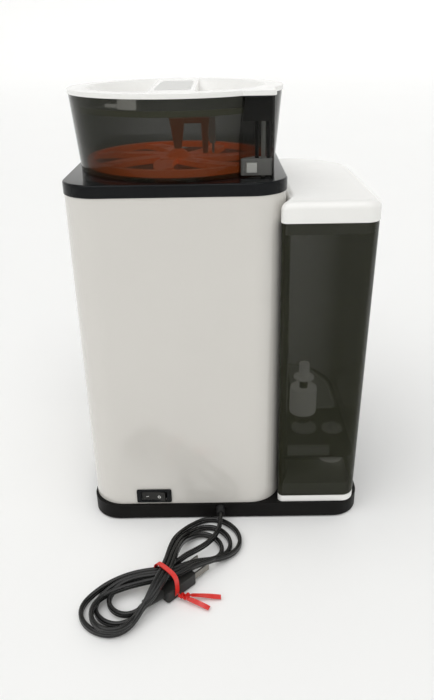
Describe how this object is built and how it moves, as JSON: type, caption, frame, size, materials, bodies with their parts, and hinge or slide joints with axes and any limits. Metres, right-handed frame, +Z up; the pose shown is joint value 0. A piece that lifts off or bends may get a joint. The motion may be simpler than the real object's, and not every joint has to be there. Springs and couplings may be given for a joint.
{
  "type": "powder and water dispenser",
  "caption": "Countertop powder-and-water bottle dispenser with a round smoke hopper, stirring wheel, side water tank, black base and a tied flat mains lead.",
  "frame": {"origin": "on the table, under the middle of the base", "axes": "+Z up, +Y to the rear face with the switch and the lead, -X to the side with the water tank"},
  "size_m": [0.24, 0.4063, 0.361],
  "materials": {
    "shell_white": "warm white gloss moulding",
    "lid_white": "off-white gloss moulding",
    "deck_black": "piano black gloss",
    "base_black": "fine spark-eroded black",
    "tank_smoke": "dark smoke clear plastic",
    "hopper_smoke": "smoke clear plastic",
    "wheel_orange": "deep orange moulding",
    "stirrer_amber": "amber brown moulding",
    "seal_olive": "olive grey silicone",
    "grey_plastic": "mid grey moulding",
    "black_plastic": "black moulding",
    "white_plastic": "natural white moulding",
    "clear_rod": "clear light guide",
    "rubber_black": "black rubber",
    "steel": "bright steel",
    "brass_pin": "plated brass",
    "lens_dark": "smoked lens",
    "board_green": "solder resist",
    "hose_clear": "milky silicone",
    "cord_black": "black flexible sheath",
    "tie_red": "red plastic strip"
  },
  "bodies": {
    "machine": {"base_pan": "base_black", "rubber_feet": "rubber_black", "base_screws": "steel", "tank_deck": "lid_white", "inlet_socket": "white_plastic", "rear_housing": "shell_white", "niche_liner": "black_plastic", "top_deck": "deck_black", "control_panel": "deck_black", "display_lens": "lens_dark", "control_board": "board_green", "switch_bezel": "deck_black", "water_pump": "grey_plastic", "heater_tank": "steel", "hoses": "hose_clear", "water_nozzle": "white_plastic", "power_supply": "black_plastic", "main_board": "board_green", "wheel_motor": "steel", "motor_plate": "steel", "funnel_rails": "black_plastic", "cord_gland": "rubber_black", "cord_lead": "cord_black", "cord_hank": "cord_black", "mains_plug": "black_plastic", "plug_pins": "brass_pin", "cord_tie": "tie_red"},
    "funnel_drawer": {"funnel": "shell_white"},
    "tray": {"drip_tray": "base_black"},
    "grille": {"drip_grille": "black_plastic"},
    "hopper": {"hopper_shell": "hopper_smoke", "lock_column": "hopper_smoke", "lock_base": "grey_plastic", "lock_block": "black_plastic"},
    "hopper_cover": {"hopper_lid": "lid_white", "lid_latch": "lid_white", "lid_seal": "seal_olive"},
    "wheel": {"mixing_wheel": "wheel_orange", "stirrer": "stirrer_amber", "wiper": "grey_plastic"},
    "gear": {"drive_gear": "white_plastic"},
    "pinion": {"motor_pinion": "black_plastic"},
    "rod": {"interlock_rod": "clear_rod"},
    "catch": {"lock_catch": "steel"},
    "tank": {"tank_shell": "tank_smoke", "tank_floor": "black_plastic", "valve_tube": "black_plastic", "valve_spring": "steel", "float_base": "black_plastic", "float_cap": "white_plastic", "tank_fittings": "grey_plastic", "strainer": "grey_plastic"},
    "tank_cover": {"tank_lid": "lid_white"},
    "float": {"level_float": "white_plastic"},
    "valve": {"valve_plunger": "grey_plastic"},
    "rocker": {"power_rocker": "black_plastic"},
    "start_button": {"button_start": "deck_black"},
    "volume_button": {"button_volume": "deck_black"},
    "strength_button": {"button_strength": "deck_black"},
    "warmth_button": {"button_warmth": "deck_black"}
  },
  "joints": [
    {"name": "hopper_lift", "type": "slide", "parent": "machine", "child": "hopper", "axis": [0, 0, 1], "range_m": [0, 0.08]},
    {"name": "hopper_lid_lift", "type": "slide", "parent": "hopper", "child": "hopper_cover", "axis": [0, 0, 1], "range_m": [0, 0.06]},
    {"name": "wheel_spin", "type": "hinge", "parent": "hopper", "child": "wheel", "pos_m": [0.0352, 0.049, 0.303], "axis": [0, 0, 1], "continuous": true},
    {"name": "drive_gear_spin", "type": "hinge", "parent": "machine", "child": "gear", "pos_m": [0.0352, 0.049, 0.28], "axis": [0, 0, 1], "continuous": true},
    {"name": "pinion_spin", "type": "hinge", "parent": "machine", "child": "pinion", "pos_m": [0.0667, 0.049, 0.28], "axis": [0, 0, 1], "continuous": true},
    {"name": "interlock_rod_press", "type": "slide", "parent": "hopper", "child": "rod", "axis": [0, 0, 1], "range_m": [-0.003, 0], "stiffness_N_per_m": 200},
    {"name": "lock_catch_press", "type": "slide", "parent": "hopper", "child": "catch", "axis": [0, -1, 0], "range_m": [0, 0.001], "stiffness_N_per_m": 1000},
    {"name": "tank_lift", "type": "slide", "parent": "machine", "child": "tank", "axis": [0, 0, 1], "range_m": [0, 0.15]},
    {"name": "tank_lid_lift", "type": "slide", "parent": "tank", "child": "tank_cover", "axis": [0, 0, 1], "range_m": [0, 0.06]},
    {"name": "float_rise", "type": "slide", "parent": "tank", "child": "float", "axis": [0, 0, 1], "range_m": [0, 0.009]},
    {"name": "valve_open", "type": "slide", "parent": "tank", "child": "valve", "axis": [0, 0, 1], "range_m": [0, 0.003], "stiffness_N_per_m": 150, "deforming": ["valve_spring"]},
    {"name": "funnel_slide", "type": "slide", "parent": "machine", "child": "funnel_drawer", "axis": [0, -1, 0], "range_m": [0, 0.12]},
    {"name": "drip_tray_slide", "type": "slide", "parent": "machine", "child": "tray", "axis": [0, -1, 0], "range_m": [0, 0.12]},
    {"name": "drip_grille_lift", "type": "slide", "parent": "tray", "child": "grille", "axis": [0, 0, 1], "range_m": [0, 0.05]},
    {"name": "power_rocker_tilt", "type": "hinge", "parent": "machine", "child": "rocker", "pos_m": [0.06395, 0.13, 0.0249], "axis": [0, 0, 1], "range_deg": [0, 12]},
    {"name": "start_button_press", "type": "slide", "parent": "machine", "child": "start_button", "axis": [0, 1, 0], "range_m": [0, 0.0008], "stiffness_N_per_m": 1500},
    {"name": "volume_button_press", "type": "slide", "parent": "machine", "child": "volume_button", "axis": [0, 1, 0], "range_m": [0, 0.0008], "stiffness_N_per_m": 1500},
    {"name": "strength_button_press", "type": "slide", "parent": "machine", "child": "strength_button", "axis": [0, 1, 0], "range_m": [0, 0.0008], "stiffness_N_per_m": 1500},
    {"name": "warmth_button_press", "type": "slide", "parent": "machine", "child": "warmth_button", "axis": [0, 1, 0], "range_m": [0, 0.0008], "stiffness_N_per_m": 1500}
  ],
  "couplings": [
    {"joint": "drive_gear_spin", "follows": "wheel_spin", "ratio": 1},
    {"joint": "pinion_spin", "follows": "wheel_spin", "ratio": -3.2}
  ]
}
